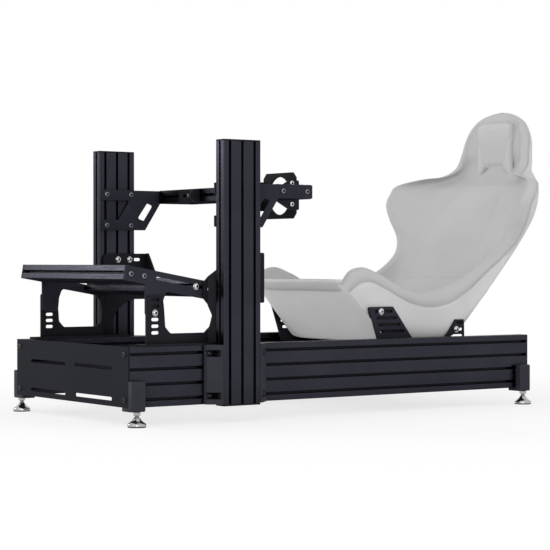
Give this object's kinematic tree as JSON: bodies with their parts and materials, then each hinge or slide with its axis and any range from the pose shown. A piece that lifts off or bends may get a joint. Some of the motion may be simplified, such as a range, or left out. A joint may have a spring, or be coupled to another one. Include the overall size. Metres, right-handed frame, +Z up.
{
  "type": "sim racing cockpit",
  "caption": "Free-standing sim racing cockpit of dark slotted aluminium profile with uprights, a tilted pedal deck, a wheel mount and a pale bucket seat.",
  "frame": {"origin": "on the floor, at the middle of the part's bounding box in X and Y", "axes": "+Z up, the rig faces -Y, +X is the driver's left"},
  "size_m": [0.704, 1.6326, 0.915],
  "materials": {
    "dark_profile": "black anodised, fine satin along the length",
    "coated_plate": "fine textured black powder coat",
    "cast_bracket": "satin black coating on cast metal",
    "end_cap": "matt moulded",
    "bright_steel": "bright plated",
    "seat_shell": "pale grey cloth over a moulded shell",
    "seat_cloth": "pale grey cloth over foam"
  },
  "bodies": {
    "root": {"front_plate": "coated_plate", "left_angle_front": "cast_bracket", "left_angle_rear": "cast_bracket", "left_base_rail": "dark_profile", "left_foot_bracket_front": "cast_bracket", "left_foot_bracket_rear": "cast_bracket", "left_levelling_foot_front": "bright_steel", "left_levelling_foot_rear": "bright_steel", "left_pedal_arm": "coated_plate", "left_pedal_support": "coated_plate", "left_rail_cap": "end_cap", "left_seat_bracket_front": "coated_plate", "left_seat_bracket_rear": "coated_plate", "left_upright": "dark_profile", "left_upright_bottom_cap": "end_cap", "left_upright_top_cap": "end_cap", "left_wheel_arm": "coated_plate", "left_wheel_mount_arm": "coated_plate", "left_wheel_mount_ear": "coated_plate", "pedal_front_bar": "dark_profile", "pedal_rear_bar": "dark_profile", "right_angle_front": "cast_bracket", "right_angle_rear": "cast_bracket", "right_base_rail": "dark_profile", "right_foot_bracket_front": "cast_bracket", "right_foot_bracket_rear": "cast_bracket", "right_levelling_foot_front": "bright_steel", "right_levelling_foot_rear": "bright_steel", "right_pedal_arm": "coated_plate", "right_pedal_support": "coated_plate", "right_rail_cap": "end_cap", "right_seat_bracket_front": "coated_plate", "right_seat_bracket_rear": "coated_plate", "right_upright": "dark_profile", "right_upright_bottom_cap": "end_cap", "right_upright_top_cap": "end_cap", "right_wheel_arm": "coated_plate", "right_wheel_mount_arm": "coated_plate", "right_wheel_mount_ear": "coated_plate", "seat_back_pad": "seat_cloth", "seat_base_pad": "seat_cloth", "seat_front_bar": "dark_profile", "seat_head_pad": "seat_cloth", "seat_rear_bar": "dark_profile", "seat_shell": "seat_shell", "wheel_cross_bar": "dark_profile", "wheel_mount_ring": "coated_plate"}
  },
  "joints": []
}
